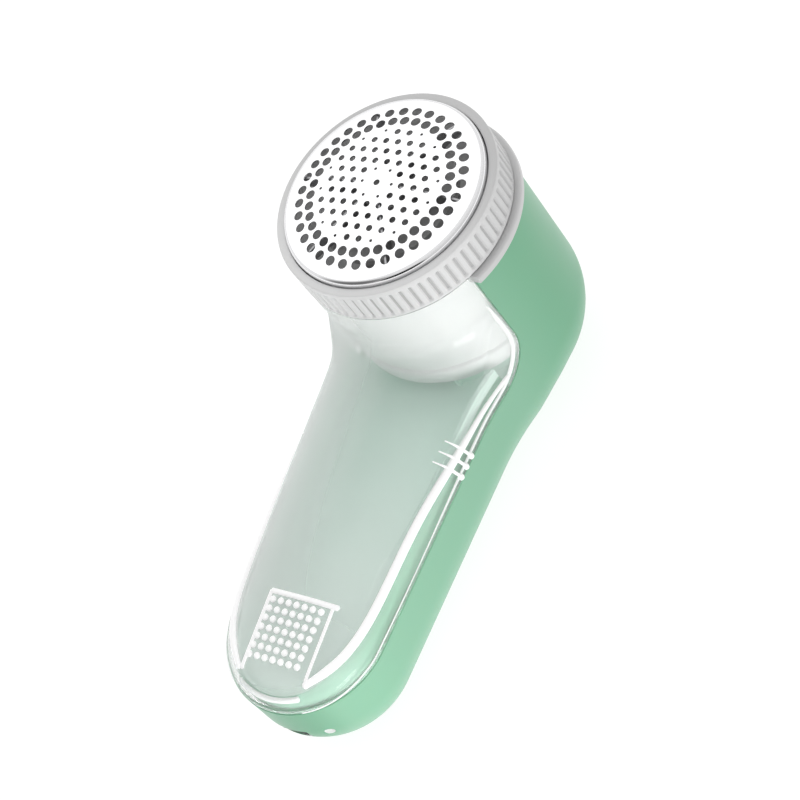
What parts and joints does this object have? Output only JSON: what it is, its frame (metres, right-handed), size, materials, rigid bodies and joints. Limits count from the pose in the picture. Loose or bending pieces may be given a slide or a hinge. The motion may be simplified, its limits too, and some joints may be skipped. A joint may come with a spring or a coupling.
{
  "type": "fabric shaver",
  "caption": "Handheld fabric shaver: domed perforated foil with a knurled screw ring on a round head, mint back shell, clear lint bin down the handle, rotary blades and motor inside.",
  "frame": {"origin": "the middle of the whole shaver, on the surface that its flat back lies on", "axes": "+Z the way the foil faces, out of the front; +Y along the handle towards the head; +X across"},
  "size_m": [0.0624, 0.15, 0.0786],
  "materials": {
    "mint_plastic": "glossy injection-moulded ABS, mint green",
    "deck_plastic": "satin injection-moulded ABS, pale mint",
    "white_plastic": "satin white ABS",
    "grey_plastic": "satin light grey ABS",
    "clear_plastic": "clear polished polystyrene",
    "foil_steel": "polished stainless steel",
    "steel": "bright zinc-plated steel",
    "blade_steel": "ground stainless steel",
    "bronze": "sintered bronze and brass",
    "ferrite": "sintered ferrite",
    "copper": "copper",
    "black_plastic": "moulded black nylon",
    "rubber": "soft black rubber",
    "cell_wrap": "shrink wrap",
    "board": "solder-masked glass-fibre board",
    "wire_insulation": "PVC insulation",
    "felt": "pressed felt"
  },
  "bodies": {
    "housing": {"rear_housing": "mint_plastic", "front_deck": "deck_plastic", "lint_duct": "deck_plastic", "tray_rim": "deck_plastic", "cutter_chamber": "white_plastic", "head_collar": "grey_plastic", "motor_can": "steel", "motor_endcap": "black_plastic", "motor_magnets": "ferrite", "motor_bushings": "bronze", "motor_cushion": "rubber", "motor_screws": "steel", "battery_cell": "cell_wrap", "battery_holder": "black_plastic", "battery_contacts": "steel", "circuit_board": "board", "usb_socket": "steel", "charge_light": "clear_plastic", "slide_switch": "steel", "housing_screws": "steel", "chamber_screws": "steel", "shaft_seal": "felt", "battery_leads": "wire_insulation", "motor_leads": "wire_insulation"},
    "cutter": {"motor_shaft": "steel", "motor_armature": "steel", "commutator": "copper", "suction_fan": "white_plastic", "cutter_hub": "white_plastic", "cutter_blades": "blade_steel", "cutter_spring": "steel", "shaft_collar": "bronze"},
    "foil": {"foil_screen": "foil_steel"},
    "ring": {"knurled_ring": "grey_plastic"},
    "bin": {"lint_bin": "clear_plastic"},
    "switch": {"switch_slider": "grey_plastic"}
  },
  "joints": [
    {"name": "cutter_spin", "type": "hinge", "parent": "housing", "child": "cutter", "pos_m": [0, 0.0438, 0.045], "axis": [0, 0, 1], "continuous": true},
    {"name": "foil_lift", "type": "slide", "parent": "housing", "child": "foil", "axis": [0, 0, 1], "range_m": [0, 0.0045]},
    {"name": "ring_turn", "type": "hinge", "parent": "foil", "child": "ring", "pos_m": [0, 0.0438, 0.069], "axis": [0, 0, 1], "range_deg": [0, 270]},
    {"name": "bin_slide", "type": "slide", "parent": "housing", "child": "bin", "axis": [0, -1, 0], "range_m": [0, 0.106]},
    {"name": "switch_slide", "type": "slide", "parent": "housing", "child": "switch", "axis": [0, 1, 0], "range_m": [0, 0.004]}
  ],
  "couplings": [
    {"joint": "foil_lift", "follows": "ring_turn", "m_per_rad": 0.000954}
  ]
}
